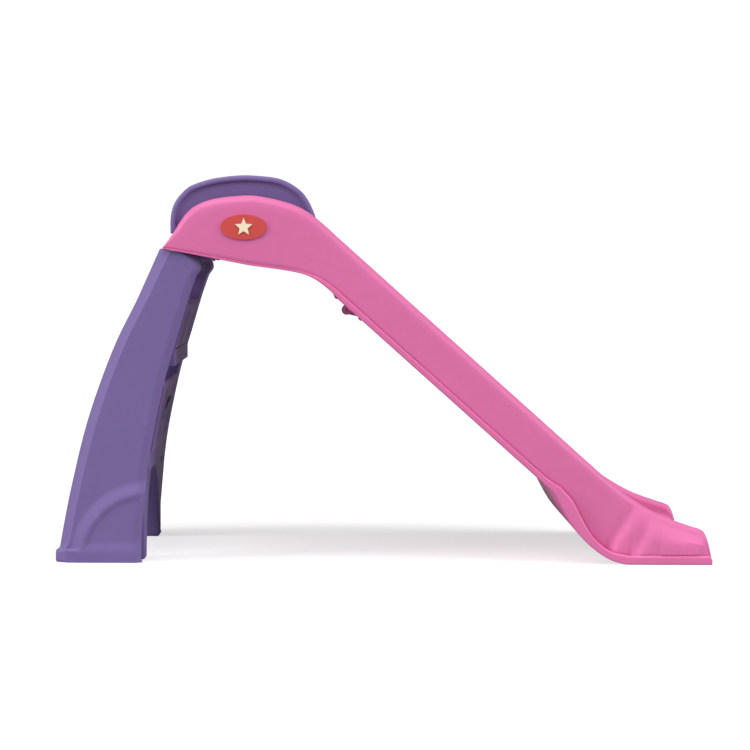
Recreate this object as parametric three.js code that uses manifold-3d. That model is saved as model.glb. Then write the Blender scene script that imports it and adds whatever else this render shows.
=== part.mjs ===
// Folding toddler slide: a blow-moulded chute, a ladder that folds under it, and two plug-in handrails.
// Millimetres. +X is the way down the slide, -Y the rider's right, +Z up; the origin is on the floor,
// under the middle of the slide.
import * as THREE from "three";
import { mergeVertices } from "three/addons/utils/BufferGeometryUtils.js";
import Module from "manifold-3d";

const wasm = await Module();
wasm.setup();

// ---------- driving dimensions ----------
const HALF_WIDTH = 230; // outer face of the rim along the chute's lower edge
const WALL_FACE = 226.5; // outer face of the chute's side walls
const WALL_INNER = 197; // inner face of the side walls, beside the bed
const SKIN = 2.4; // moulded wall thickness
const RIM_HEIGHT = 15; // height of the proud rim along the lower edge
const HALF_LENGTH = 503; // from the middle to the run-out's lip, and to the ladder's foot
const SLOPE = THREE.MathUtils.degToRad(41.6);
const WALL_DEPTH = 70; // side wall on the straight, square to the slope
const BED_DEPTH = 45; // bed surface below the top of the wall, square to the slope
const CREST = [-65, 491.5]; // top edge of the wall where the straight begins
const STRAIGHT = 516; // length of the straight
const DECK_Z = 502; // top of the platform
const TIP = [-339.5, 479]; // rear tip of the platform
const DECK_UNDER = [-254.5, 463.5]; // a second point on the platform's sloping underside

const RAIL_OUTER = 222; // outer face of the ladder's side rails
const RAIL_INNER = 182; // inner face of the side rails
const PANEL = 24; // thickness of the ladder's back panel
const TREADS = [
  { top: 163, front: -460, back: -361 },
  { top: 325, front: -405, back: -322 },
];
const TREAD = 26; // tread thickness
const TREAD_INTO_RISER = 8; // how far each riser runs down behind its tread
const STEP_GAP = 22; // open height between the lower riser and the upper tread
const PANEL_TOP = 400; // top of the upper riser
const FOOT_HEIGHT = 20; // height of the proud foot
const ARCH = { halfWidth: 148, height: 132 }; // opening between the ladder's legs
const WEB = { front: -394, thick: 28, top: 157 }; // web under the lower tread, around the arch
const HUB = { radius: 12, skin: 2 }; // solid plastic around the hinge bush
const DRAIN = { radius: 3, x: -430, y: 170, from: 150, to: 170 }; // drain hole through the lower tread

const HINGE = new THREE.Vector2(-298.5, 450.5); // ladder's fold axis, in X and Z
const HINGE_ROUND = 19; // rounding of the rail's corner about the fold axis
const FOLD = THREE.MathUtils.degToRad(66);
const PIN_R = 5;
const RUNNING_GAP = 0.15;
const GAP = 0.3; // between neighbours that don't move

const LATCH_ALONG = 78; // from the crest, down the straight, to the latch's pivot
const LATCH_PIVOT_DROP = 6; // pivot below the underside
const LATCH_CRANK = 11; // the arm lies this far above the pivot, inside its groove
const LATCH_PIN_R = 2.5;
const LATCH_SWING = THREE.MathUtils.degToRad(94);
const LATCH_REACH = 84; // from the pivot to the shoulder of the peg
const PEG_LENGTH = 16;
const PEG_R = 4;

const HANDRAIL_OUTER = 196.4; // handrail's outer face, beside the chute's wall
const HANDRAIL_THICK = 23;
const HANDRAIL_RIM = 11; // width of the raised rim
const HANDRAIL_FOOT_Z = DECK_Z + 0.5;
const TABS_X = [-288, -193];
const TAB = { length: 34, thick: 12, depth: 20, setBack: 6 }; // set back from the handrail's outer face
const RECESS = 4; // depth of the panel inside the handrail's rim

const BRACKET_SCREW = {
  x: [-18, 18], y: 156, radius: 1.6, head: 2.4, length: 18, pilot: 1.8, clear: 2.3, boss: 8,
};
const LATCH_SCREW = { radius: 1.3, head: 1.4, length: 14, pilot: 1.5, clear: 1.8, boss: 6 };
const LATCH_SCREWS = [[-26, 0], [26, 16], [26, -16]]; // their places along and across the latch mount

const BADGE = { x: -215, z: 512.5, halfLength: 35, halfHeight: 19, thick: 2 };
const STAR = { outer: 14, inner: 6.2, thick: 0.9 };

// ---------- solids ----------
const solidOf = (geometry) => {
  const bare = geometry.index ? geometry.toNonIndexed() : geometry.clone();
  bare.deleteAttribute("normal");
  bare.deleteAttribute("uv");
  const merged = mergeVertices(bare, 1e-4);
  return new wasm.Manifold(
    new wasm.Mesh({
      numProp: 3,
      vertProperties: merged.attributes.position.array,
      triVerts: new Uint32Array(merged.index.array),
    }),
  );
};

const joined = (solids) => solids.reduce((sum, solid) => sum.add(solid));
const cutBy = (solid, cutters) => solid.subtract(joined(cutters));

const finish = {
  pink: { color: 0xd9699c, roughness: 0.38, metalness: 0 },
  purple: { color: 0x6f5d9e, roughness: 0.4, metalness: 0 },
  coral: { color: 0xe0685a, roughness: 0.35, metalness: 0 },
  cream: { color: 0xf6e7cc, roughness: 0.4, metalness: 0 },
  steel: { color: 0xb9bcc0, roughness: 0.3, metalness: 1 },
  bush: { color: 0xe6e4de, roughness: 0.5, metalness: 0 },
};

// A named mesh from a solid, with a material of its own.
function meshOf(name, solid, look) {
  const { vertProperties, triVerts } = solid.getMesh();
  const geometry = new THREE.BufferGeometry();
  geometry.setAttribute("position", new THREE.BufferAttribute(new Float32Array(vertProperties), 3));
  geometry.setIndex(new THREE.BufferAttribute(new Uint32Array(triVerts), 1));
  geometry.computeVertexNormals();
  const mesh = new THREE.Mesh(geometry, new THREE.MeshStandardMaterial(finish[look]));
  mesh.name = name;
  return mesh;
}

// A side outline in X and Z, extruded along Y between two heights of Y, with optional rounded edges.
function plate(outline, yA, yB, round = 0) {
  const [low, high] = [Math.min(yA, yB), Math.max(yA, yB)];
  const shape = new THREE.Shape(outline.map(([x, z]) => new THREE.Vector2(x, z)));
  const geometry = new THREE.ExtrudeGeometry(shape, {
    depth: high - low - 2 * round,
    bevelEnabled: round > 0,
    bevelThickness: round,
    bevelSize: round,
    bevelOffset: -round,
    bevelSegments: 2,
  });
  return solidOf(geometry.rotateX(Math.PI / 2).translate(0, high - round, 0));
}

// A box between two corners, optionally in a placed frame.
function block(from, to, frame = new THREE.Matrix4()) {
  const [a, b] = [new THREE.Vector3(...from), new THREE.Vector3(...to)];
  const size = b.clone().sub(a);
  const centre = a.clone().add(b).multiplyScalar(0.5);
  const geometry = new THREE.BoxGeometry(Math.abs(size.x), Math.abs(size.y), Math.abs(size.z));
  return solidOf(geometry.translate(centre.x, centre.y, centre.z).applyMatrix4(frame));
}

// A round bar between two points, optionally in a placed frame.
function bar(radius, from, to, frame = new THREE.Matrix4(), sides = 24) {
  const [a, b] = [new THREE.Vector3(...from), new THREE.Vector3(...to)];
  const along = b.clone().sub(a);
  const geometry = new THREE.CylinderGeometry(radius, radius, along.length(), sides);
  const turn = new THREE.Quaternion().setFromUnitVectors(new THREE.Vector3(0, 1, 0), along.normalize());
  const centre = a.add(b).multiplyScalar(0.5);
  geometry.applyQuaternion(turn).translate(centre.x, centre.y, centre.z).applyMatrix4(frame);
  return solidOf(geometry);
}

// A run of points moved to its left by a distance, corner by corner.
function beside(run, distance, closed = false) {
  const points = run.map(([x, z]) => new THREE.Vector2(x, z));
  const last = points.length - 1;
  const normal = (a, b) => {
    const along = b.clone().sub(a).normalize();
    return new THREE.Vector2(-along.y, along.x);
  };
  return points.map((point, i) => {
    const into = i || closed ? normal(points.at(i - 1), point) : null;
    const out = i < last || closed ? normal(point, points[(i + 1) % points.length]) : into;
    const before = into ?? out;
    const mitre = before.clone().add(out).divideScalar(1 + before.dot(out));
    return point.clone().addScaledVector(mitre, distance).toArray();
  });
}

// A closed outline moved inwards; a negative distance moves it outwards.
function inset(outline, distance) {
  const clockwise = THREE.ShapeUtils.isClockWise(outline.map(([x, z]) => new THREE.Vector2(x, z)));
  return beside(outline, clockwise ? -distance : distance, true);
}

// A smooth run through a few points.
function smooth(points, steps) {
  const curve = new THREE.SplineCurve(points.map(([x, z]) => new THREE.Vector2(x, z)));
  return curve.getPoints(steps).map((point) => point.toArray());
}

// A frame at a point of the side view, turned so that its X runs down a slope.
const sideFrame = ([x, z], slope) =>
  new THREE.Matrix4().makeTranslation(x, 0, z).multiply(new THREE.Matrix4().makeRotationY(slope));

// A point moved along and square to the straight.
const onStraight = ([x, z], along, below) => [
  x + along * Math.cos(SLOPE) - below * Math.sin(SLOPE),
  z - along * Math.sin(SLOPE) - below * Math.cos(SLOPE),
];

const SIDES = [
  { word: "right", y: -1 },
  { word: "left", y: 1 },
];

// ---------- chute ----------
const deckSlope = Math.atan2(TIP[1] - DECK_UNDER[1], DECK_UNDER[0] - TIP[0]);
const deckFrame = sideFrame(HINGE.toArray(), deckSlope);
const latchFoot = onStraight(CREST, LATCH_ALONG, WALL_DEPTH);
const latchFrame = sideFrame(latchFoot, SLOPE);

const lipX = HALF_LENGTH;
const underStart = onStraight(CREST, 64, WALL_DEPTH);
const underEnd = onStraight(CREST, 499, WALL_DEPTH);

// Lower edge, from the run-out's lip back to the platform's tip.
const lowerEdge = [
  [lipX, 0],
  [372, 0],
  ...smooth([[345, 8], [314, 30], [290, 57], [274, 84]], 7),
  underEnd,
  underStart,
  ...smooth([[-86, 418.5], [-107, 434], [-130, 443], [-168, 449.5]], 5),
  [-204, 454],
  DECK_UNDER,
];

// Top edge, from the tip over the hump, down the straight and along the run-out's falling wall.
const upperEdge = [
  ...smooth(
    [TIP, [-325, 499], [-302, 534], [-274, 551.5], [-231, 559.5], [-188, 559], [-124, 540], CREST],
    22,
  ),
  onStraight(CREST, STRAIGHT, 0),
  ...smooth([[354, 120], [388, 95], [426, 74], [464, 60], [482, 54.5]], 8),
  [493, 48],
  [499, 34],
  [lipX, 15],
];
const sideOutline = [...upperEdge, ...lowerEdge];

// Top of the bed: platform lip, platform, straight and flat run-out.
const bedLine = [
  ...smooth([[-340.5, 477], [-336, 489], [-327, 498], [-313, DECK_Z]], 5),
  ...smooth([[-175, DECK_Z], [-149, 497], [-121, 480], onStraight(CREST, 0, BED_DEPTH)], 5),
  onStraight(CREST, 540, BED_DEPTH),
  ...smooth([[348, 70], [378, 46], [420, 32], [472, 27]], 6),
  ...smooth([[488, 25], [497, 18], [lipX + 1, 4]], 4),
];

// The space between the walls: everything above the bed, closed well clear of the chute.
const CLEAR = { front: lipX + 60, back: -400, top: 700 };
const aboveBed = [
  ...bedLine,
  [CLEAR.front, 4],
  [CLEAR.front, CLEAR.top],
  [CLEAR.back, CLEAR.top],
  [CLEAR.back, 477],
];

// The rim follows the lower edge from the lip to under the hump.
const rimLine = lowerEdge.slice(0, -2);
const rimBand = [...rimLine, ...beside(rimLine, -RIM_HEIGHT).reverse()];

const bracketScrews = (y) => BRACKET_SCREW.x.map((x) => [x, y * BRACKET_SCREW.y]);
const GROOVE = { from: -14, to: 118, halfWidth: 8, depth: 11 };

// A bar for each bracket screw, in the tilted frame of the platform's underside.
const atBracketScrews = (radius, bottom, top, sides) =>
  SIDES.flatMap(({ y }) =>
    bracketScrews(y).map(([x, at]) => bar(radius, [x, at, bottom], [x, at, top], deckFrame, sides)),
  );

// A bar for each latch screw, in a given frame.
const atLatchScrews = (radius, bottom, top, frame, sides) =>
  LATCH_SCREWS.map(([x, y]) => bar(radius, [x, y, bottom], [x, y, top], frame, sides));

const TAB_OUTER = HANDRAIL_OUTER - TAB.setBack;

function makeChute() {
  const outside = plate(sideOutline, -WALL_FACE, WALL_FACE).add(
    plate(rimBand, -HALF_WIDTH, HALF_WIDTH),
  );
  const bed = plate(aboveBed, -WALL_INNER, WALL_INNER);
  const groove = block(
    [GROOVE.from, -GROOVE.halfWidth, -20],
    [GROOVE.to, GROOVE.halfWidth, GROOVE.depth],
    latchFrame,
  );
  const bosses = [
    ...atBracketScrews(BRACKET_SCREW.boss, 15, 44),
    ...atLatchScrews(LATCH_SCREW.boss, -5, 30, latchFrame),
  ];
  const hollow = cutBy(plate(inset(sideOutline, SKIN), -WALL_FACE + SKIN, WALL_FACE - SKIN), [
    plate(inset(aboveBed, -SKIN), -WALL_INNER - SKIN, WALL_INNER + SKIN),
    block(
      [GROOVE.from - SKIN, -GROOVE.halfWidth - SKIN, -20],
      [GROOVE.to + SKIN, GROOVE.halfWidth + SKIN, GROOVE.depth + SKIN],
      latchFrame,
    ),
    ...bosses,
  ]);
  const openings = [
    groove,
    ...atBracketScrews(BRACKET_SCREW.pilot, 15, 38, 12),
    ...atLatchScrews(LATCH_SCREW.pilot, -5, 14, latchFrame, 12),
    ...SIDES.flatMap(({ y }) =>
      TABS_X.map((x) =>
        block(
          [x - TAB.length / 2 - GAP, y * (TAB_OUTER + GAP), DECK_Z - 6],
          [x + TAB.length / 2 + GAP, y * (TAB_OUTER - TAB.thick - GAP), DECK_Z + 1],
        ),
      ),
    ),
  ];
  return cutBy(outside, [bed, hollow, ...openings]);
}

// ---------- ladder ----------
// Height just below the platform's sloping underside.
const underDeck = (x) => TIP[1] - (x - TIP[0]) * Math.tan(deckSlope) - 2;

const RAIL_INNER_EDGE = [
  [-286, 437], [-297, 405], [-314, 347], [-331, 289], [-344, 232], [-355, 174], [-362, 118], [-368, 45],
];
const railOuterEdge = smooth(
  [[-497, 22], [-481, 108], [-454, 219], [-416, 326], [-379, 403], [-345, underDeck(-345)]],
  16,
);
const railInnerEdge = smooth(RAIL_INNER_EDGE, 16);

// The rail's top follows the platform's underside, and its corner is round about the fold axis.
const railTop = Array.from({ length: 7 }, (_, i) => {
  const angle = THREE.MathUtils.degToRad(88 - i * 17);
  return [HINGE.x + HINGE_ROUND * Math.cos(angle), HINGE.y + HINGE_ROUND * Math.sin(angle)];
});
const railOutline = [
  [-HALF_LENGTH, 0],
  [-HALF_LENGTH, FOOT_HEIGHT],
  ...railOuterEdge,
  [-316, underDeck(-316)],
  ...railTop,
  ...railInnerEdge,
  [-368, 0],
];

// A riser panel is a band along the rails' inner edge, between two heights, drawn in all round by a margin.
function panelBand(bottom, top, margin) {
  const edge = smooth(RAIL_INNER_EDGE, 24).filter(
    ([, z]) => z > bottom + margin && z < top - margin,
  );
  const inner = edge.map(([x, z]) => [x - margin, z]);
  const outer = edge.map(([x, z]) => [x - PANEL + margin, z]).reverse();
  return [...inner, ...outer];
}

// One tread: a slab from the panel to the front of the rails, with a rounded nose.
function treadOutline({ top, front, back }, shrink) {
  const [high, low] = [top - shrink, top - TREAD + shrink];
  const nose = Array.from({ length: 7 }, (_, i) => {
    const angle = Math.PI / 2 + (i * Math.PI) / 6;
    const radius = (high - low) / 2;
    return [front + TREAD / 2 + radius * Math.cos(angle), (high + low) / 2 + radius * Math.sin(angle)];
  });
  return [[back - shrink, high], ...nose, [back - shrink, low]];
}

// The web under the lower tread, cut by the arch between the legs.
function archWeb(shrink, halfSpan) {
  const shape = new THREE.Shape();
  const [halfWidth, height] = [ARCH.halfWidth + shrink, ARCH.height + shrink];
  shape.moveTo(halfSpan, shrink);
  shape.lineTo(halfSpan, WEB.top);
  shape.lineTo(-halfSpan, WEB.top);
  shape.lineTo(-halfSpan, shrink);
  shape.lineTo(-halfWidth, shrink);
  shape.absellipse(0, 0, halfWidth, height, Math.PI, 0, true);
  shape.lineTo(halfWidth, shrink);
  const depth = WEB.thick - 2 * shrink;
  const geometry = new THREE.ExtrudeGeometry(shape, { depth, bevelEnabled: false, curveSegments: 20 });
  // The outline's X becomes Y and its Y becomes Z; the depth runs along X.
  const turn = new THREE.Matrix4().set(0, 0, 1, WEB.front + shrink, 1, 0, 0, 0, 0, 1, 0, 0, 0, 0, 0, 1);
  return solidOf(geometry.applyMatrix4(turn));
}

const CROSSBAR = { from: [-346, 441], to: [-324, 463] };

// Folded, the latch's peg stands square to its swing; turned back by the fold, that is where it meets
// the ladder when the slide stands open.
const latchPivot = new THREE.Vector3(0, 0, -LATCH_PIVOT_DROP).applyMatrix4(latchFrame);
const hingePoint = new THREE.Vector3(HINGE.x, 0, HINGE.y);
const unfold = new THREE.Matrix4()
  .makeTranslation(hingePoint)
  .multiply(new THREE.Matrix4().makeRotationY(FOLD))
  .multiply(new THREE.Matrix4().makeTranslation(hingePoint.clone().negate()));
const latchOut = new THREE.Matrix4()
  .makeTranslation(latchPivot)
  .multiply(new THREE.Matrix4().makeRotationY(SLOPE + LATCH_SWING));
const catchFrame = unfold.clone().multiply(latchOut);

const CATCH = { halfLength: 20, halfWidth: 11, thick: 3 };

function makeLadder() {
  const rails = (outline, skin) =>
    SIDES.map(({ y }) => plate(outline, y * (RAIL_INNER + skin), y * (RAIL_OUTER - skin), skin ? 0 : 4));
  const [lower, upper] = TREADS;
  const risers = [
    [lower.top - TREAD_INTO_RISER, upper.top - TREAD - STEP_GAP],
    [upper.top - TREAD_INTO_RISER, PANEL_TOP],
  ];
  const span = RAIL_INNER + 1;
  const outside = joined([
    ...rails(railOutline, 0),
    ...risers.map((riser) => plate(panelBand(...riser, 0), -span, span)),
    ...TREADS.map((tread) => plate(treadOutline(tread, 0), -span, span)),
    archWeb(0, span),
    block([CROSSBAR.from[0], -span, CROSSBAR.from[1]], [CROSSBAR.to[0], span, CROSSBAR.to[1]]),
  ]);
  const reach = RAIL_INNER + SKIN + 1;
  const hollow = joined([
    ...rails(inset(railOutline, SKIN), SKIN),
    ...risers.map((riser) => plate(panelBand(...riser, SKIN), -reach, reach)),
    ...TREADS.map((tread) => plate(treadOutline(tread, SKIN), -reach, reach)),
    archWeb(SKIN, reach),
    block(
      [CROSSBAR.from[0] + SKIN, -reach, CROSSBAR.from[1] + SKIN],
      [CROSSBAR.to[0] - SKIN, reach, CROSSBAR.to[1] - SKIN],
    ),
  ]);
  const hubs = SIDES.map(({ y }) =>
    bar(HUB.radius, [HINGE.x, y * RAIL_INNER, HINGE.y], [HINGE.x, y * (RAIL_OUTER - HUB.skin), HINGE.y]),
  );
  const alongPeg = (radius, past) =>
    bar(radius, [LATCH_REACH - 40, 0, LATCH_CRANK], [LATCH_REACH + past, 0, LATCH_CRANK], catchFrame);
  const seat = block(
    [LATCH_REACH - 40, -CATCH.halfWidth - GAP, LATCH_CRANK - CATCH.halfLength - GAP],
    [LATCH_REACH + 1 + CATCH.thick, CATCH.halfWidth + GAP, LATCH_CRANK + CATCH.halfLength + GAP],
    catchFrame,
  );
  const bores = [
    ...SIDES.map(({ y }) =>
      bar(BUSH.outer + RUNNING_GAP, [HINGE.x, y * (RAIL_INNER - 2), HINGE.y], [HINGE.x, y * 215, HINGE.y]),
    ),
    alongPeg(PEG_R + 1.5, PEG_LENGTH + 3),
    seat,
  ];
  const drain = bar(DRAIN.radius, [DRAIN.x, DRAIN.y, DRAIN.from], [DRAIN.x, DRAIN.y, DRAIN.to]);
  const kept = cutBy(hollow, [...hubs, alongPeg(9, 40)]);
  return cutBy(outside, [kept, ...bores, drain]);
}

// ---------- hinge hardware ----------
const BUSH = { outer: 7, flange: 10, flangeThick: 1.6 };
const BRACKET = { inner: 146, outer: 178, plateThick: 5, plateHalf: 28, round: 12 };

// A bracket hangs from the platform's underside; its own frame sits on the fold axis, tilted with it.
function makeBracket(y) {
  const underside = undersideHeight - GAP;
  const plateTop = block(
    [-BRACKET.plateHalf, y * (BRACKET.inner - 2), underside - BRACKET.plateThick],
    [BRACKET.plateHalf, y * (BRACKET.outer - 10), underside],
  );
  const ear = [
    [-BRACKET.round, underside - 1],
    ...Array.from({ length: 9 }, (_, i) => {
      const angle = Math.PI + (i * Math.PI) / 8;
      return [BRACKET.round * Math.cos(angle), BRACKET.round * Math.sin(angle)];
    }),
    [BRACKET.round, underside - 1],
  ];
  const body = plateTop.add(plate(ear, y * (BRACKET.outer - 10), y * BRACKET.outer));
  return cutBy(body, [
    bar(PIN_R + RUNNING_GAP, [0, y * 140, 0], [0, y * 190, 0]),
    ...bracketScrews(y).map(([x, at]) => bar(BRACKET_SCREW.clear, [x, at, 0], [x, at, 30])),
  ]);
}
const undersideHeight = new THREE.Vector3(TIP[0], 0, TIP[1]).applyMatrix4(deckFrame.clone().invert()).z;

function makePin(y) {
  const shank = bar(PIN_R, [0, y * 167, 0], [0, y * 212, 0]);
  return shank.add(bar(8, [0, y * 163.5, 0], [0, y * 167.6, 0]));
}

function makeBush(y) {
  const sleeve = bar(BUSH.outer, [0, y * RAIL_INNER, 0], [0, y * 213, 0]);
  const seat = RAIL_INNER - GAP;
  const flange = bar(BUSH.flange, [0, y * (seat - BUSH.flangeThick), 0], [0, y * seat, 0]);
  const collar = bar(BUSH.outer, [0, y * (seat - 1), 0], [0, y * (RAIL_INNER + 1), 0]);
  const bore = bar(PIN_R + RUNNING_GAP, [0, y * 170, 0], [0, y * 220, 0]);
  return cutBy(joined([sleeve, flange, collar]), [bore]);
}

// A screw with a round head below a plate, driven upwards in the frame it is placed in.
function makeScrew([x, y], headTop, { length, radius, head }) {
  const shank = bar(radius, [x, y, headTop - 0.5], [x, y, headTop + length], undefined, 12);
  return shank.add(bar(radius * 2.1, [x, y, headTop - head], [x, y, headTop], undefined, 16));
}

// ---------- storage latch ----------
const LATCH_ARM = { thick: 12, height: 8 };
const CHEEK = { inner: 6.4, outer: 10.6, round: 8 };
const MOUNT_PLATE = 2.2; // thickness of the latch mount's base

function makeLatchMount() {
  const ear = [
    [-CHEEK.round, -GAP],
    ...Array.from({ length: 9 }, (_, i) => {
      const angle = Math.PI + (i * Math.PI) / 8;
      return [CHEEK.round * Math.cos(angle), -LATCH_PIVOT_DROP + CHEEK.round * Math.sin(angle)];
    }),
    [CHEEK.round, -GAP],
  ];
  const lugs = SIDES.flatMap(({ y }) => [
    plate(ear, y * CHEEK.inner, y * CHEEK.outer),
    block([-32, y * (GROOVE.halfWidth + 1), -MOUNT_PLATE - GAP], [32, y * 22, -GAP]),
  ]);
  const bridge = block([-32, -12, -MOUNT_PLATE - GAP], [GROOVE.from - 4, 12, -GAP]);
  return cutBy(joined([...lugs, bridge]), [
    bar(LATCH_PIN_R + RUNNING_GAP, [0, -20, -LATCH_PIVOT_DROP], [0, 20, -LATCH_PIVOT_DROP]),
    ...atLatchScrews(LATCH_SCREW.clear, -10, 5, undefined, 12),
  ]);
}

// The latch lies along its groove; its own frame sits on its pivot.
function makeLatch() {
  const half = LATCH_ARM.thick / 2;
  const eye = bar(6.5, [0, -half, 0], [0, half, 0]);
  const neck = plate(
    [[-6, 1], [3, -5.6], [24, LATCH_CRANK - 5], [24, LATCH_CRANK + 4], [10, LATCH_CRANK + 4]],
    -half,
    half,
  );
  const arm = block(
    [16, -half, LATCH_CRANK - LATCH_ARM.height / 2],
    [LATCH_REACH, half, LATCH_CRANK + LATCH_ARM.height / 2],
  );
  const peg = bar(PEG_R, [LATCH_REACH - 1, 0, LATCH_CRANK], [LATCH_REACH + PEG_LENGTH, 0, LATCH_CRANK]);
  return cutBy(joined([eye, neck, arm, peg]), [bar(LATCH_PIN_R + RUNNING_GAP, [0, -20, 0], [0, 20, 0])]);
}

function makeCatch() {
  const surface = LATCH_REACH + 1;
  const body = block(
    [surface, -CATCH.halfWidth, LATCH_CRANK - CATCH.halfLength],
    [surface + CATCH.thick - GAP, CATCH.halfWidth, LATCH_CRANK + CATCH.halfLength],
  );
  return cutBy(body, [bar(PEG_R + 0.8, [surface - 9, 0, LATCH_CRANK], [surface + 9, 0, LATCH_CRANK])]);
}

// ---------- handrails ----------
const handrailOutline = [
  [-324, HANDRAIL_FOOT_Z],
  ...smooth(
    [[-328, 524], [-323, 545], [-313, 562.5], [-297, 575.5], [-264, 586.5], [-227, 591.5], [-198, 591.5]],
    14,
  ),
  ...smooth([[-188, 591], [-160, 586.5], [-131, 570.5], [-115, 550], [-106, 528.5], [-104, 513]], 10),
  [-115, HANDRAIL_FOOT_Z],
];

function makeHandrail(y) {
  const inner = HANDRAIL_OUTER - HANDRAIL_THICK;
  const recess = inset(handrailOutline, HANDRAIL_RIM);
  const body = cutBy(plate(handrailOutline, y * inner, y * HANDRAIL_OUTER, 3), [
    plate(recess, y * (inner - 1), y * (inner + RECESS)),
    plate(recess, y * (HANDRAIL_OUTER - RECESS), y * (HANDRAIL_OUTER + 1)),
  ]);
  const tabs = TABS_X.map((x) =>
    block(
      [x - TAB.length / 2, y * TAB_OUTER, HANDRAIL_FOOT_Z - TAB.depth],
      [x + TAB.length / 2, y * (TAB_OUTER - TAB.thick), HANDRAIL_FOOT_Z + 2],
    ),
  );
  return joined([body, ...tabs]);
}

// ---------- badges ----------
function makeBadge(y) {
  const outline = Array.from({ length: 40 }, (_, i) => {
    const angle = (i * Math.PI) / 20;
    return [BADGE.x + BADGE.halfLength * Math.cos(angle), BADGE.z + BADGE.halfHeight * Math.sin(angle)];
  });
  return plate(outline, y * (WALL_FACE + GAP), y * (WALL_FACE + GAP + BADGE.thick));
}

function makeStar(y) {
  const outline = Array.from({ length: 10 }, (_, i) => {
    const angle = Math.PI / 2 + (i * Math.PI) / 5;
    const radius = i % 2 ? STAR.inner : STAR.outer;
    return [BADGE.x + radius * Math.cos(angle), BADGE.z + radius * Math.sin(angle)];
  });
  const base = WALL_FACE + 2 * GAP + BADGE.thick;
  return plate(outline, y * base, y * (base + STAR.thick));
}

// ---------- assembly ----------
const slide = new THREE.Group();
slide.add(meshOf("slide_chute", makeChute(), "pink"), meshOf("ladder", makeLadder(), "purple"));

const hinge = new THREE.Group();
hinge.position.set(HINGE.x, 0, HINGE.y);
const tilted = new THREE.Group();
tilted.rotation.y = deckSlope;
for (const { word, y } of SIDES) {
  tilted.add(meshOf(`hinge_bracket_${word}`, makeBracket(y), "purple"));
  for (const [i, place] of bracketScrews(y).entries()) {
    const headTop = undersideHeight - BRACKET.plateThick - 2 * GAP;
    const screw = makeScrew(place, headTop, BRACKET_SCREW);
    tilted.add(meshOf(`bracket_screw_${word}_${i + 1}`, screw, "steel"));
  }
  hinge.add(
    meshOf(`hinge_pin_${word}`, makePin(y), "steel"),
    meshOf(`hinge_bush_${word}`, makeBush(y), "bush"),
  );
}
hinge.add(tilted);
slide.add(hinge);

const latch = new THREE.Group();
latch.position.set(latchFoot[0], 0, latchFoot[1]);
latch.rotation.y = SLOPE;
const storageLatch = meshOf("storage_latch", makeLatch(), "pink");
const latchPin = meshOf("latch_pin", bar(LATCH_PIN_R, [0, -CHEEK.outer, 0], [0, CHEEK.outer, 0]), "steel");
storageLatch.position.z = -LATCH_PIVOT_DROP;
latchPin.position.z = -LATCH_PIVOT_DROP;
latch.add(
  meshOf("latch_mount", makeLatchMount(), "pink"),
  ...LATCH_SCREWS.map((place, i) =>
    meshOf(`latch_screw_${i + 1}`, makeScrew(place, -MOUNT_PLATE - 2 * GAP, LATCH_SCREW), "steel"),
  ),
  storageLatch,
  latchPin,
);
slide.add(latch);

const catchPlate = meshOf("latch_catch", makeCatch(), "cream");
catchPlate.applyMatrix4(catchFrame);
slide.add(catchPlate);

for (const { word, y } of SIDES) {
  slide.add(
    meshOf(`handrail_${word}`, makeHandrail(y), "purple"),
    meshOf(`badge_${word}`, makeBadge(y), "coral"),
    meshOf(`badge_star_${word}`, makeStar(y), "cream"),
  );
}

export default slide;
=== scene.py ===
"""Looks of the folding toddler slide: a hollow humped chute, a folding ladder and two plug-in handrails."""

import logging
import math
from dataclasses import dataclass, field
from enum import Enum
from typing import Any, Sequence

import bmesh
import bpy
from mathutils import Matrix, Vector


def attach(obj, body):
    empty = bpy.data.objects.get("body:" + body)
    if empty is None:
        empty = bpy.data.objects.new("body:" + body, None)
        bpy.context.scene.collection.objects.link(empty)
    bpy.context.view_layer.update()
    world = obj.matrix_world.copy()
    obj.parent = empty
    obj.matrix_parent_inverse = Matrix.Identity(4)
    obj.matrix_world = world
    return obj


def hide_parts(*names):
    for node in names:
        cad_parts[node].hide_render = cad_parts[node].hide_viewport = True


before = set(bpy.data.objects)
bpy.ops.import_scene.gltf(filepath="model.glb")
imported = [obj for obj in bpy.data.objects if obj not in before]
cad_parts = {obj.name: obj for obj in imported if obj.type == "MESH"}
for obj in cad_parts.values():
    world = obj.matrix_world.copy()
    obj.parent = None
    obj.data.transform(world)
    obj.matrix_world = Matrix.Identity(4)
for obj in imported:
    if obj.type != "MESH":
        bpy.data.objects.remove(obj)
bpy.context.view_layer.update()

LOG = logging.getLogger("slide")
MM = 0.001

Point = tuple[float, float]  # X and Z of the side view, in millimetres
Ring = list[tuple[float, float, float]]  # X, Y and Z, in millimetres


# ---------------------------------------------------------------- side-view curves


def curve(points: Sequence[Point], steps: int) -> list[Point]:
    """Run a smooth curve through a few points.

    Args:
        points: The points that the curve passes through.
        steps: How many pieces the curve is cut into.

    Returns:
        The points along the curve, one more than steps.
    """
    run = []
    for i in range(steps + 1):
        place = i / steps * (len(points) - 1)
        k = min(int(place), len(points) - 2)
        t = place - k
        corners = [points[max(k - 1, 0)], points[k], points[k + 1], points[min(k + 2, len(points) - 1)]]
        run.append(tuple(spline(t, [corner[axis] for corner in corners]) for axis in (0, 1)))
    return run


def spline(t: float, p: Sequence[float]) -> float:
    """Value at t of the cubic through the middle two of four evenly spaced values."""
    v0, v1 = (p[2] - p[0]) / 2, (p[3] - p[1]) / 2
    cubic = (2 * p[1] - 2 * p[2] + v0 + v1) * t**3
    return cubic + (-3 * p[1] + 3 * p[2] - 2 * v0 - v1) * t**2 + v0 * t + p[1]


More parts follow.
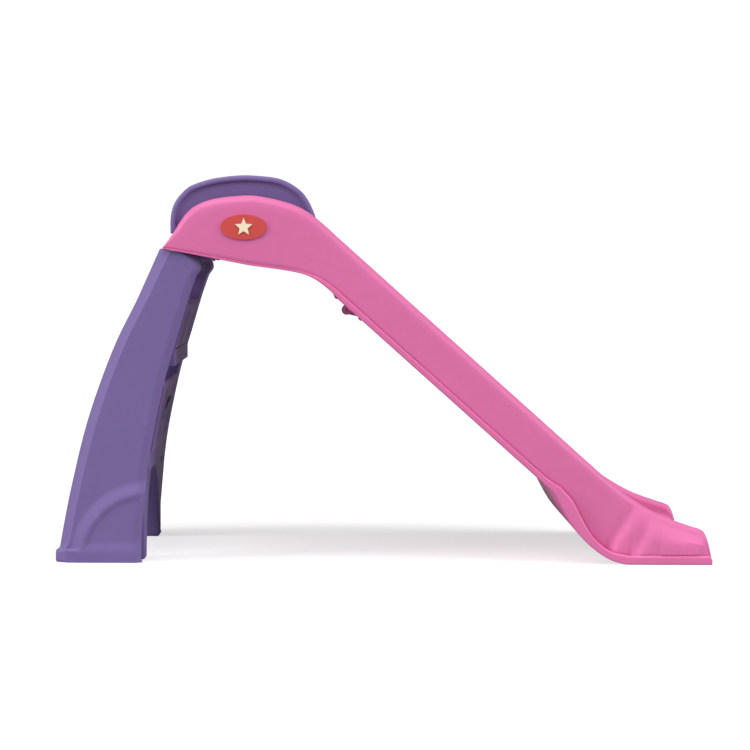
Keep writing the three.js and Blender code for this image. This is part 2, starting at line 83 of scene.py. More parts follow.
def facet(value: float, low: float, high: float) -> float:
    """Straight rise from 0 at low to 1 at high; low may be the larger."""
    return min(max((value - low) / (high - low), 0.0), 1.0)


def ramp(value: float, low: float, high: float) -> float:
    """Smooth step from 0 at low to 1 at high; low may be the larger."""
    t = facet(value, low, high)
    return t * t * (3 - 2 * t)


@dataclass
class Track:
    """One long edge of the side view, measured along its length."""

    points: list[Point]

    def __post_init__(self) -> None:
        """Measure the run once."""
        self.reach = [0.0]
        for a, b in zip(self.points, self.points[1:]):
            self.reach.append(self.reach[-1] + math.dist(a, b))

    def length_at(self, x: float) -> float:
        """Length along the track at which it first comes to an X."""
        for i, (a, b) in enumerate(zip(self.points, self.points[1:])):
            if a[0] <= x <= b[0] and b[0] > a[0]:
                return self.reach[i] + (x - a[0]) / (b[0] - a[0]) * (self.reach[i + 1] - self.reach[i])
        return self.reach[-1] if x > self.points[-1][0] else 0.0

    def at(self, length: float) -> Vector:
        """Point of the track at a length along it."""
        length = min(max(length, 0.0), self.reach[-1])
        i = max(i for i, start in enumerate(self.reach[:-1]) if start <= length)
        share = (length - self.reach[i]) / max(self.reach[i + 1] - self.reach[i], 1e-9)
        a, b = Vector(self.points[i]), Vector(self.points[i + 1])
        return a.lerp(b, share)

    def between(self, x0: float, x1: float, count: int) -> list[Vector]:
        """Evenly spaced points from one X up to, but not on, another."""
        a, b = self.length_at(x0), self.length_at(x1)
        return [self.at(a + (b - a) * i / count) for i in range(count)]


# ---------------------------------------------------------------- modelling by operators


class Turn(Enum):
    """How a boolean modifier joins two pieces."""

    CUT = "DIFFERENCE"
    JOIN = "UNION"


class Bench:
    """Edit-mode modelling of one piece at a time."""

    @staticmethod
    def clear() -> None:
        """Leave nothing selected."""
        if bpy.context.object and bpy.context.object.mode != "OBJECT":
            bpy.ops.object.mode_set(mode="OBJECT")
        bpy.ops.object.select_all(action="DESELECT")

    @staticmethod
    def pick(obj: bpy.types.Object) -> None:
        """Make one object the only selected and active one."""
        Bench.clear()
        obj.select_set(True)
        bpy.context.view_layer.objects.active = obj

    @staticmethod
    def loft(name: str, rings: Sequence[Ring]) -> bpy.types.Object:
        """Build a closed body by extruding an edge ring from section to section.

        Args:
            name: Name of the new object.
            rings: Sections with equally many points, in millimetres.

        Returns:
            The new object, capped at both ends, with its faces pointing out.
        """
        Bench.clear()
        count = len(rings[0])
        bpy.ops.mesh.primitive_circle_add(vertices=count, radius=1.0, fill_type="NOTHING")
        obj = bpy.context.object
        obj.name = obj.data.name = name
        bpy.ops.object.mode_set(mode="EDIT")
        bpy.ops.mesh.select_mode(type="VERT")
        mesh = bmesh.from_edit_mesh(obj.data)
        mesh.verts.ensure_lookup_table()
        for vert, place in zip(mesh.verts, rings[0]):
            vert.co = Vector(place) * MM
        bpy.ops.mesh.select_all(action="SELECT")
        bpy.ops.mesh.edge_face_add()
        bpy.ops.mesh.select_mode(type="EDGE")
        for before, after in zip(rings, rings[1:]):
            bpy.ops.mesh.extrude_edges_move()
            mesh = bmesh.from_edit_mesh(obj.data)
            spots = {Bench.key(Vector(place) * MM): i for i, place in enumerate(before)}
            for vert in mesh.verts:
                if vert.select:
                    vert.co = Vector(after[spots[Bench.key(vert.co)]]) * MM
            bmesh.update_edit_mesh(obj.data)
        bpy.ops.mesh.edge_face_add()
        bpy.ops.mesh.select_all(action="SELECT")
        bpy.ops.mesh.normals_make_consistent(inside=False)
        bpy.ops.object.mode_set(mode="OBJECT")
        return obj

    @staticmethod
    def key(place: Vector) -> tuple[int, int, int]:
        """A place rounded to a hundredth of a millimetre."""
        return tuple(round(value / (0.01 * MM)) for value in place)

    @staticmethod
    def prism(name: str, outline: Sequence[Point], y0: float, y1: float, edge: float) -> bpy.types.Object:
        """Extrude a side outline across the slide, with rounded long edges.

        Args:
            name: Name of the new object.
            outline: Closed outline in the side view.
            y0: Where it starts across the slide.
            y1: Where it ends.
            edge: Radius of its end edges.

        Returns:
            The new object.
        """
        direction = 1 if y1 > y0 else -1
        rings = []
        for depth, shrink in Bench.rounding(edge):
            rings.append([(x, y0 + direction * depth, z) for x, z in inset(outline, shrink)])
        for depth, shrink in reversed(Bench.rounding(edge)):
            rings.append([(x, y1 - direction * depth, z) for x, z in inset(outline, shrink)])
        return Bench.loft(name, rings)

    @staticmethod
    def rounding(radius: float, steps: int = 5) -> list[tuple[float, float]]:
        """Depth and inset of each section of a quarter-round edge, from its face inwards."""
        turns = [math.pi / 2 * i / steps for i in range(steps + 1)]
        return [(radius * (1 - math.sin(turn)), radius * (1 - math.cos(turn))) for turn in reversed(turns)]

    @staticmethod
    def brick(name: str, low: Sequence[float], high: Sequence[float], edge: float) -> bpy.types.Object:
        """Add a box between two corners, in millimetres, and round its edges."""
        Bench.clear()
        bpy.ops.mesh.primitive_cube_add(size=1.0)
        obj = bpy.context.object
        obj.name = obj.data.name = name
        size = [(b - a) * MM for a, b in zip(low, high)]
        centre = Vector([(a + b) / 2 * MM for a, b in zip(low, high)])
        obj.data.transform(Matrix.Translation(centre) @ Matrix.Diagonal((*size, 1.0)))
        if edge:
            Bench.bevel(obj, edge, 4)
        return obj

    @staticmethod
    def bevel(obj: bpy.types.Object, width: float, segments: int, angle: float = 40.0) -> None:
        """Round the sharp edges of a piece by a width in millimetres."""
        Bench.pick(obj)
        modifier = obj.modifiers.new("rounding", "BEVEL")
        modifier.width = width * MM
        modifier.segments = segments
        modifier.limit_method = "ANGLE"
        modifier.angle_limit = math.radians(angle)
        modifier.use_clamp_overlap = True
        bpy.ops.object.modifier_apply(modifier=modifier.name)

    @staticmethod
    def combine(obj: bpy.types.Object, tool: bpy.types.Object, turn: Turn) -> None:
        """Cut a piece with a tool, or join the tool to it, and throw the tool away."""
        Bench.pick(obj)
        modifier = obj.modifiers.new("combine", "BOOLEAN")
        modifier.operation = turn.value
        modifier.solver = "EXACT"
        modifier.object = tool
        bpy.ops.object.modifier_apply(modifier=modifier.name)
        bpy.data.objects.remove(tool)

    @staticmethod
    def join(pieces: Sequence[bpy.types.Object], name: str) -> bpy.types.Object:
        """Make one object of several closed shells."""
        Bench.clear()
        for piece in pieces:
            piece.select_set(True)
        bpy.context.view_layer.objects.active = pieces[0]
        bpy.ops.object.join()
        obj = bpy.context.object
        obj.name = obj.data.name = name
        return obj

    @staticmethod
    def mirrored(obj: bpy.types.Object, name: str) -> bpy.types.Object:
        """Copy a piece to the other side of the slide, with its own mesh."""
        twin = obj.copy()
        twin.data = obj.data.copy()
        twin.name = twin.data.name = name
        bpy.context.collection.objects.link(twin)
        twin.data.transform(Matrix.Scale(-1.0, 4, (0.0, 1.0, 0.0)))
        twin.data.flip_normals()
        return twin

    @staticmethod
    def finish(obj: bpy.types.Object, angle: float = 32.0) -> None:
        """Shade a piece smooth, except over its sharp edges."""
        Bench.pick(obj)
        bpy.ops.object.shade_smooth_by_angle(angle=math.radians(angle))


def inset(outline: Sequence[Point], distance: float) -> list[Point]:
    """Move a closed outline inwards, corner by corner.

    Args:
        outline: Closed outline, either way round.
        distance: How far inwards.

    Returns:
        The moved outline, with as many points.
    """
    area = sum(a[0] * b[1] - b[0] * a[1] for a, b in zip(outline, [*outline[1:], outline[0]]))
    side = 1 if area > 0 else -1
    moved = []
    for i, point in enumerate(outline):
        before = Vector(point) - Vector(outline[i - 1])
        after = Vector(outline[(i + 1) % len(outline)]) - Vector(point)
        n1 = Vector((-before.y, before.x)).normalized() * side
        n2 = Vector((-after.y, after.x)).normalized() * side
        mitre = (n1 + n2) / max(1 + n1.dot(n2), 0.35)
        moved.append(tuple(Vector(point) + mitre * distance))
    return moved


def rounded(corners: Sequence[tuple[float, float, float]], steps: int = 4) -> list[Point]:
    """Round the corners of a closed outline.

    Args:
        corners: Two coordinates and a radius for each corner.
        steps: Pieces in each rounded corner.

    Returns:
        The rounded outline.
    """
    outline = []
    for i, (a, b, radius) in enumerate(corners):
        here = Vector((a, b))
        back = (Vector(corners[i - 1][:2]) - here).normalized()
        ahead = (Vector(corners[(i + 1) % len(corners)][:2]) - here).normalized()
        half = math.acos(max(-1.0, min(1.0, back.dot(ahead)))) / 2
        start, end = here + back * (radius / math.tan(half)), here + ahead * (radius / math.tan(half))
        centre = here + (back + ahead).normalized() * (radius / math.sin(half))
        for k in range(steps + 1):
            arm = (start - centre).slerp(end - centre, k / steps) if radius else Vector((0.0, 0.0))
            outline.append(tuple(centre + arm))
            if not radius:
                break
    return outline


# ---------------------------------------------------------------- shader graphs


class Signal:
    """A shader socket that can be used in expressions."""

    def __init__(self, graph: "Graph", socket: bpy.types.NodeSocket) -> None:
        """Wrap one output socket of a graph."""
        self.graph = graph
        self.socket = socket

    def _math(self, operation: str, *values: Any) -> "Signal":
        """Add a Math node on values."""
        return self.graph.add("ShaderNodeMath", {"operation": operation}, dict(enumerate(values)))

    def __add__(self, other: Any) -> "Signal":
        """Sum."""
        return self._math("ADD", self, other)

    __radd__ = __add__

    def __mul__(self, other: Any) -> "Signal":
        """Product."""
        return self._math("MULTIPLY", self, other)

    __rmul__ = __mul__

    def __sub__(self, other: Any) -> "Signal":
        """Difference."""
        return self._math("SUBTRACT", self, other)

    def __rsub__(self, other: Any) -> "Signal":
        """Difference, from the other value."""
        return self._math("SUBTRACT", other, self)

    def __abs__(self) -> "Signal":
        """Size without its sign."""
        return self._math("ABSOLUTE", self)

    def step(self, low: float, high: float) -> "Signal":
        """Smooth step from 0 at low to 1 at high."""
        settings = {"interpolation_type": "SMOOTHSTEP"}
        inputs = {"Value": self, "From Min": low, "From Max": high}
        return self.graph.add("ShaderNodeMapRange", settings, inputs)


class Graph:
    """The node tree of one material."""

    def __init__(self, name: str) -> None:
        """Start a material with an empty tree."""
        self.material = bpy.data.materials.new(name)
        self.material.use_nodes = True
        self.tree = self.material.node_tree
        self.tree.nodes.clear()

    def add(
        self,
        kind: str,
        settings: dict[str, Any] | None = None,
        inputs: dict[int | str, Any] | None = None,
        output: int | str = 0,
    ) -> Signal:
        """Add a node.

        Args:
            kind: The node's type name.
            settings: Its own properties, set before its sockets.
            inputs: Values or signals for its sockets, by name or number.
            output: The socket to return.

        Returns:
            The chosen output.
        """
        node = self.tree.nodes.new(kind)
        for name, value in (settings or {}).items():
            setattr(node, name, value)
        for name, value in (inputs or {}).items():
            if isinstance(value, Signal):
                self.tree.links.new(value.socket, node.inputs[name])
            else:
                node.inputs[name].default_value = value
        return Signal(self, node.outputs[output] if len(node.outputs) else node.inputs[0])

    def place(self) -> Signal:
        """The piece's own coordinates, in metres."""
        return self.add("ShaderNodeTexCoord", output="Object")

    def axes(self) -> tuple[Signal, Signal, Signal]:
        """X, Y and Z of the piece's own coordinates."""
        split = self.tree.nodes.new("ShaderNodeSeparateXYZ")
        self.tree.links.new(self.place().socket, split.inputs[0])
        return tuple(Signal(self, split.outputs[i]) for i in range(3))

    def noise(self, scale: float, detail: float = 2.0, vector: Signal | None = None) -> Signal:
        """Noise on the piece's own coordinates, from 0 to 1."""
        inputs = {"Vector": vector or self.place(), "Scale": scale, "Detail": detail}
        return self.add("ShaderNodeTexNoise", None, inputs, "Fac")

    def stretched(self, turn: float, scale: Sequence[float]) -> Signal:
        """Coordinates turned about Y and scaled, for marks that run one way."""
        inputs = {"Vector": self.place(), "Rotation": (0.0, turn, 0.0), "Scale": tuple(scale)}
        return self.add("ShaderNodeMapping", None, inputs)

    def blend(self, share: Any, low: Any, high: Any) -> Signal:
        """Mix two colours."""
        settings = {"data_type": "RGBA"}
        return self.add("ShaderNodeMix", settings, {0: share, 6: low, 7: high}, 2)

    def bump(self, height: Signal, distance: float, strength: float, under: Signal | None = None) -> Signal:
        """Raise a surface by a height signal."""
        inputs: dict[int | str, Any] = {"Height": height, "Distance": distance, "Strength": strength}
        if under:
            inputs["Normal"] = under
        return self.add("ShaderNodeBump", None, inputs)

    def close(self, shader: Signal) -> bpy.types.Material:
        """Send a shader to the output."""
        self.add("ShaderNodeOutputMaterial", None, {"Surface": shader})
        return self.material


Colour = tuple[float, float, float]


def rgba(colour: Colour, factor: float = 1.0) -> tuple[float, float, float, float]:
    """A colour with full cover, brightened by a factor."""
    return (*(min(value * factor, 1.0) for value in colour), 1.0)


@dataclass(frozen=True)
class MouldedFinish:
    """Blow-moulded polyethylene: even colour, soft gloss, faint flow marks and a fine grain."""

    name: str
    colour: Colour
    gloss: float = 0.45
    grain: float = 0.12
    wave: float = 0.3
    scuff: float = 0.25
    scuff_turn: float = 0.0
    scuff_scale: tuple[float, float, float] = (4.0, 60.0, 60.0)
    seam: float | None = None

    def material(self) -> bpy.types.Material:
        """Build the material."""
        graph = Graph(self.name)
        cloud = graph.noise(5.0, 3.0)
        fleck = graph.noise(90.0, 4.0)
        streak = graph.noise(1.0, 5.0, graph.stretched(self.scuff_turn, self.scuff_scale))
        marks = streak.step(0.62, 0.74) * fleck * self.scuff
        tone = (cloud * 0.7 + fleck * 0.3).step(0.3, 0.72)
        colour = graph.blend(tone, rgba(self.colour, 0.975), rgba(self.colour, 1.025))
        colour = graph.blend(marks * 0.25, colour, rgba(tuple(0.4 + 0.6 * v for v in self.colour)))
        rough = cloud * 0.06 + fleck * 0.05 + marks * 0.2 + (self.gloss - 0.05)
        waves = graph.bump(graph.noise(14.0, 1.0), 0.004, self.wave * 0.1)
        grain = graph.bump(graph.noise(1400.0, 2.0), 0.0004, self.grain, waves)
        scratches = graph.bump(marks, 0.0003, 0.3, grain)
        if self.seam is not None:
            across = abs(abs(graph.axes()[1]) - self.seam)
            scratches = graph.bump(1.0 - across.step(0.0002, 0.0012), 0.0005, 0.6, scratches)
        shader = graph.add(
            "ShaderNodeBsdfPrincipled",
            None,
            {
                "Base Color": colour,
                "Roughness": rough,
                "Normal": scratches,
                "IOR": 1.5,
                "Specular IOR Level": 0.32,
            },
        )
        return graph.close(shader)


@dataclass(frozen=True)
class SteelFinish:
    """Zinc-plated steel of the pins and screws, with fine turning marks; its colour is darkened as painted
    shade.
    """

    name: str
    # far darker than bright zinc plate: painted shade, so the hinge pin in the gap under the platform reads
    # as shaded
    colour: Colour = (0.2, 0.19, 0.22)
    gloss: float = 0.3

    def material(self) -> bpy.types.Material:
        """Build the material."""
        graph = Graph(self.name)
        spangle = graph.noise(260.0, 3.0)
        turned = graph.noise(1.0, 2.0, graph.stretched(0.0, (2600.0, 300.0, 2600.0)))
        colour = graph.blend(spangle.step(0.35, 0.7), rgba(self.colour, 0.86), rgba(self.colour, 1.08))
        normal = graph.bump(turned, 0.0001, 0.35)
        shader = graph.add(
            "ShaderNodeBsdfPrincipled",
            None,
            {
                "Base Color": colour,
                "Metallic": 1.0,
                "Roughness": spangle * 0.16 + self.gloss,
                "Normal": normal,
            },
        )
        return graph.close(shader)


@dataclass(frozen=True)
class FloorFinish:
    """Plain pale floor."""

    name: str
    colour: Colour = (0.42, 0.42, 0.42)
    glow: Colour = (0.62, 0.62, 0.62)  # seen by the eye only, so that the floor throws little light up

    def material(self) -> bpy.types.Material:
        """Build the material."""
        graph = Graph(self.name)
        seen = graph.add("ShaderNodeLightPath", output="Is Camera Ray")
        inputs = {
            "Base Color": rgba(self.colour),
            "Roughness": 0.9,
            "Specular IOR Level": 0.1,
            "Emission Color": graph.blend(seen, (0.0, 0.0, 0.0, 1.0), rgba(self.glow)),
            "Emission Strength": 1.0,
        }
        return graph.close(graph.add("ShaderNodeBsdfPrincipled", None, inputs))


class Slot(Enum):
    """Material slots of the record."""

    CHUTE = "chute_plastic"
    LADDER = "ladder_plastic"
    BADGE = "badge_plate"
    STAR = "badge_star"
    STEEL = "screw_steel"
    NYLON = "bush_plastic"


SLOPE = math.radians(41.6)
PINK: Colour = (0.655, 0.148, 0.350)
PURPLE: Colour = (0.160, 0.114, 0.300)


class Finishes:
    """Every material, made once."""

    def __init__(self) -> None:
        """Build the materials by slot."""
        down_slope, up_ladder = (3.0, 70.0, 40.0), (40.0, 4.0, 60.0)
        self.by_slot = {
            Slot.CHUTE: MouldedFinish("pink_polyethylene", PINK, scuff_turn=-SLOPE, scuff_scale=down_slope),
            Slot.LADDER: MouldedFinish("purple_polyethylene", PURPLE, gloss=0.62, scuff_scale=up_ladder),
            Slot.BADGE: MouldedFinish("coral_badge", (0.60, 0.075, 0.065), gloss=0.28, scuff=0.1),
            Slot.STAR: MouldedFinish("cream_star", (0.88, 0.75, 0.55), gloss=0.3, scuff=0.1),
            Slot.STEEL: SteelFinish("zinc_steel_painted_shade"),
            # bush and catch plastic kept near-black: painted shade, so the hinge corner under the platform
            # reads as shaded
            Slot.NYLON: MouldedFinish("nylon_painted_shade", (0.07, 0.06, 0.09), gloss=0.5, scuff=0.15),
        }
        self.made = {slot: finish.material() for slot, finish in self.by_slot.items()}
        handrail = MouldedFinish("handrail_polyethylene", PURPLE, gloss=0.52, seam=0.1849)
        self.handrail = handrail.material()

    def dress(self, obj: bpy.types.Object, slot: Slot, material: bpy.types.Material | None = None) -> None:
        """Give a piece its only material."""
        obj.data.materials.clear()
        obj.data.materials.append(material or self.made[slot])


def settle(obj: bpy.types.Object, body: str, slot: Slot, *nodes: str) -> None:
    """Tie a finished piece to its body and hide the nodes it stands for."""
    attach(obj, body)
    if nodes:
        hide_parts(*nodes)
    LOG.info("%s: %d faces on %s", obj.name, len(obj.data.polygons), body)


# ---------------------------------------------------------------- chute


# places across the slide at which half of the underside, and half of the bed, have points
UNDERSIDE_Y = (
    *(0, 22, 44, 62, 67, 71, 74, 82, 90, 93, 97),
    *(102, 128, 133, 137, 140, 148, 156, 159, 163, 168, 200),
)
BED_Y = (176, 164, 158, 153, 148, 110, 60, 0)


@dataclass
class Chute:
    """Humped chute: rounded side walls, a bed between them, and a proud rim along the lower edge."""

    half_width: float = 230.0
    wall_face: float = 226.5
    wall_inner: float = 197.0
    crown_outer: float = 13.5
    crown_inner: float = 13.5
    rim_height: float = 8.5
    bed_fillet: float = 15.0
    crest: Point = (-65.0, 491.5)
    wall_depth: float = 70.0
    bed_depth: float = 45.0
    deck: float = 502.0
    lip: float = 503.0
    waist: float = 8.5  # how far the side face draws in above the run-out
    facet_step: float = 7.5  # outward step of the run-out's side at the first slanting facet
    facet_width: float = 11.0
    facet_lean: tuple[float, float] = (0.828, 0.56)  # direction square to both facets
    first_facet: Point = (345.0, 23.9)
    second_facet: Point = (387.0, 23.9)
    second_share: float = 0.8  # the second facet's step as a share of the first's
    crease: float = 1.8  # depth of the line before the first facet
    hollow: float = 1.3  # depth of the line before the second
    pad: float = 1.6  # height of the panel by the lip
    rim_flare: float = 3.6  # how far the rim spreads along the run-out
    tip: Point = (-339.5, 479.0)
    rows: int = 46
    stations: dict[str, int] = field(default_factory=lambda: {
        "platform": 58, "crest": 34, "straight": 26, "heel": 72, "run_out": 84, "nose": 16,
    })

    def on_straight(self, along: float, below: float) -> Point:
        """A point along and square to the top of the straight wall."""
        x = self.crest[0] + along * math.cos(SLOPE) - below * math.sin(SLOPE)
        return x, self.crest[1] - along * math.sin(SLOPE) - below * math.cos(SLOPE)

    def tracks(self) -> tuple[Track, Track, Track]:
        """Top edge of the wall, line of the bed, and lower edge, each from the tip to the lip."""
        hump = [self.tip, (-325, 499), (-302, 534), (-274, 551.5), (-231, 559.5), (-188, 559), (-124, 540)]
        top = [
            *curve([*hump, self.crest], 70),
            *(self.on_straight(along, 0) for along in (64, 200, 350, 490)),
            *curve([self.on_straight(516, 0), (354, 120), (388, 95), (426, 74), (464, 60), (482, 54.5)], 50),
            *curve([(486, 53), (493, 48), (499, 34), (self.lip, 15)], 14),
        ]
        bed = [
            *curve([(-337.5, 480), (-333, 489), (-323, 497), (-306, self.deck)], 12),
            *curve([(-175, self.deck), (-149, 497), (-121, 480), self.on_straight(0, self.bed_depth)], 18),
            self.on_straight(540, self.bed_depth),
            *curve([(348, 70), (378, 46), (420, 32), (472, 27)], 18),
            *curve([(488, 25), (497, 19), (self.lip, 8)], 8),
        ]
        low = [
            self.tip,
            (-254.5, 463.5),
            *curve([(-204, 454), (-168, 449.5), (-130, 443), (-107, 434), (-86, 418.5),
                    self.on_straight(64, self.wall_depth)], 24),
            self.on_straight(499, self.wall_depth),
            *curve([(274, 84), (290, 57), (314, 30), (345, 8), (372, 0)], 26),
            (self.lip, 0.0),
        ]
        return Track(top), Track(bed), Track(low)

    def knots(self) -> list[tuple[str, Sequence[float], Sequence[float]]]:
        """Matching X of the three tracks at the ends of each stretch."""
        begin = [self.on_straight(64, below)[0] for below in (0.0, self.bed_depth, self.wall_depth)]
        end = [self.on_straight(488, below)[0] for below in (0.0, self.bed_depth, self.wall_depth)]
        marks = [
            (self.tip[0] + 0.6, self.tip[0] + 2.6, self.tip[0] + 0.6),
            (-231.0, -231.0, -231.0),
            begin,
            end,
            (394.0, 387.0, 373.0),
            (482.0, 478.0, 481.0),
            (self.lip, self.lip, self.lip),
        ]
        return [(name, marks[i], marks[i + 1]) for i, name in enumerate(self.stations)]

    def side_step(self, x: float, z: float, drop: float) -> float:
        """How far the side face stands out from the wall's face.

        Args:
            x: Place along the slide.
            z: Height.
            drop: Depth below the top of the wall.

        Returns:
            The distance, which is negative above the run-out, where the side draws in.
        """
        first, second = (self.past(start, x, z) for start in (self.first_facet, self.second_facet))
        waist = -self.waist * ramp(first, -190, -20) * ramp(x, 100, 300)
        crease = -self.crease * (facet(first, -10, -3) - facet(first, -3, 0)) * facet(drop, 10, 14)
        under_crown = facet(drop, 12, 19)
        shoulder = facet(z, 54 - 0.12 * (x - 405), 45 - 0.12 * (x - 405))
        hollow = -self.hollow * (facet(second, -9, -3) - facet(second, -3, 0)) * shoulder
        rise = self.second_share * facet(second, 0, self.facet_width) * shoulder
        steps = (facet(first, 0, self.facet_width) + rise) * under_crown
        fall = 0.2 * (x - 425)  # the panel's top runs down towards the lip
        pad = facet(x, 423, 427) * facet(x, 486, 482) * facet(z, 13, 16) * facet(z, 42 - fall, 38 - fall)
        return waist + (crease + hollow + self.facet_step * steps) * ramp(x, 296, 306) + self.pad * pad

    def past(self, start: Point, x: float, z: float) -> float:
        """How far a place lies past the first edge of a slanting facet."""
        return (x - start[0]) * self.facet_lean[0] - (z - start[1]) * self.facet_lean[1]

    def rim_tall(self, x: float, z: float) -> float:
        """Height of the rim: low along the slope, widest round the heel, and between the two at the base."""
        heel = ramp(z, 130, 70) * ramp(z, 0, 72) * facet(x, 200, 240)
        return self.rim_height * ramp(x, -150, -60) + 13.5 * heel + 4.5 * ramp(x, 315, 372)

    def rim_face(self, x: float, z: float) -> float:
        """Outer face of the rim, which is flush under the hump and flares with the run-out."""
        flush = self.wall_face + 0.3
        flare = self.rim_flare * ramp(x, 300, 420) * ramp(z, 120, 50)
        return flush + (self.half_width - flush) * ramp(x, -150, -60) + flare

    def under_flutes(self, y: float, x: float) -> float:
        """Depth of the long flutes pressed into the chute's underside."""
        along = ramp(x, -40, -5) * ramp(x, 235, 205)
        across = ramp(abs(y - 82), 15, 9) + ramp(abs(y - 148), 15, 9)
        return 5.0 * along * across

    def deck_ribs(self, y: float, x: float) -> float:
        """Height of the grip ribs across the platform."""
        if not -298 < x < -190:
            return 0.0
        wave = 0.5 - 0.5 * math.cos(2 * math.pi * (x + 298) / 18)
        return 1.3 * wave * wave * ramp(y, 158, 148)

    def half_section(self, top: Vector, bed: Vector, low: Vector) -> Ring:
        """One side of the section, from the middle of the underside round to the middle of the bed.

        Args:
            top: Top of the wall at this station.
            bed: Level of the bed.
            low: Lower edge.

        Returns:
            Points in millimetres, from the underside's middle to the bed's middle.
        """
        height = (top - low).length
        up = (top - low) / height
        inner = top - bed
        inner_height = max(inner.length, 0.8)
        in_up = inner / inner_height if inner.length > 0.4 else up
        rim = min(max(self.rim_tall(low.x, low.y), 3.0), height * 0.55)
        proud = self.rim_face(low.x, low.y)
        points: list[tuple[float, Vector]] = []
        for y in UNDERSIDE_Y:
            points.append((y, low + up * self.under_flutes(y, low.x)))
        points += [(proud - 5, low), (proud - 1.4, low + up * 0.4)]
        points.append((proud - 0.3, low + up * min(1.3, height * 0.05)))
        points += [(proud, low + up * rim * share) for share in (0.26, 0.34, 0.6, 0.78, 0.84)]
        points += [(proud - 0.3, low + up * rim * 0.92), (proud - 1.6, low + up * rim)]

        def face(spot: Vector) -> float:
            """Outer face of the wall at a spot."""
            return self.wall_face + self.side_step(spot.x, spot.y, (top - spot).length)

        thick = face(top) - self.wall_inner
        crown_out = min(self.crown_outer, height * 0.3, thick * 0.49)
        crown_in = min(self.crown_inner, inner_height * 0.48, thick * 0.49)
        foot = rim + min(1.2, height * 0.05)
        points.append((face(low + up * foot) - 0.8, low + up * foot))
        start, stop = foot + min(2.0, height * 0.06), height - crown_out
        for i in range(self.rows + 1):
            spot = low + up * (start + (stop - start) * i / self.rows)
            points.append((face(spot), spot))
        centre = top - up * crown_out
        for i in range(1, 9):
            turn = math.pi / 2 * i / 8
            y = face(centre) - crown_out * (1 - math.cos(turn))
            points.append((y, centre + up * crown_out * math.sin(turn)))
        centre = top - in_up * crown_in
        for i in range(8):
            turn = math.pi / 2 * (1 - i / 8)
            y = self.wall_inner + crown_in * (1 - math.cos(turn))
            points.append((y, centre + in_up * crown_in * math.sin(turn)))
        fillet = min(self.bed_fillet, inner_height * 0.48)
        for i in range(4):
            points.append((self.wall_inner, centre.lerp(bed + in_up * fillet, i / 4)))
        for i in range(8):
            turn = math.pi / 2 * i / 7
            y = self.wall_inner - fillet * (1 - math.cos(turn))
            points.append((y, bed + in_up * fillet * (1 - math.sin(turn))))
        points += [(y, bed + Vector((0.0, self.deck_ribs(y, bed.x)))) for y in BED_Y]
        return [(spot.x, y, spot.y) for y, spot in points]

    def rings(self) -> list[Ring]:
        """All sections from the tip to the lip."""
        tracks = self.tracks()
        rings = []
        for name, start, end in self.knots():
            runs = [track.between(a, b, self.stations[name]) for track, a, b in zip(tracks, start, end)]
            for top, bed, low in zip(*runs):
                half = self.half_section(top, bed, low)
                rings.append(half + [(x, -y, z) for x, y, z in half[-2:0:-1]])
        half = self.half_section(*(track.at(track.reach[-1]) for track in tracks))
        rings.append(half + [(x, -y, z) for x, y, z in half[-2:0:-1]])
        return rings

    def build(self, finishes: Finishes) -> bpy.types.Object:
        """Model, cut and dress the chute."""
        chute = Bench.loft("chute_shell", self.rings())
        for cutter in (self.latch_groove(), *self.handrail_slots()):
            Bench.combine(chute, cutter, Turn.CUT)
        Bench.finish(chute, 34.0)
        finishes.dress(chute, Slot.CHUTE)
        settle(chute, "chute", Slot.CHUTE, "slide_chute")
        return chute

    def latch_groove(self) -> bpy.types.Object:
        """Tool for the groove that the latch's arm lies in."""
        tool = Bench.brick("groove_tool", (-14, -8, -20), (118, 8, 11), 2.0)
        foot = self.on_straight(78, self.wall_depth)
        place = Matrix.Translation((foot[0] * MM, 0.0, foot[1] * MM)) @ Matrix.Rotation(SLOPE, 4, "Y")
        tool.data.transform(place)
        return tool

    def handrail_slots(self) -> list[bpy.types.Object]:
        """Tools for the slots that the handrails' tabs sit in."""
        tools = []
        for x in (-288, -193):
            for side in (-1, 1):
                y = sorted((side * 178.0, side * 190.8))
                tools.append(Bench.brick("slot_tool", (x - 17.5, y[0], 480), (x + 17.5, y[1], 520), 0.0))
        return tools


# ---------------------------------------------------------------- ladder


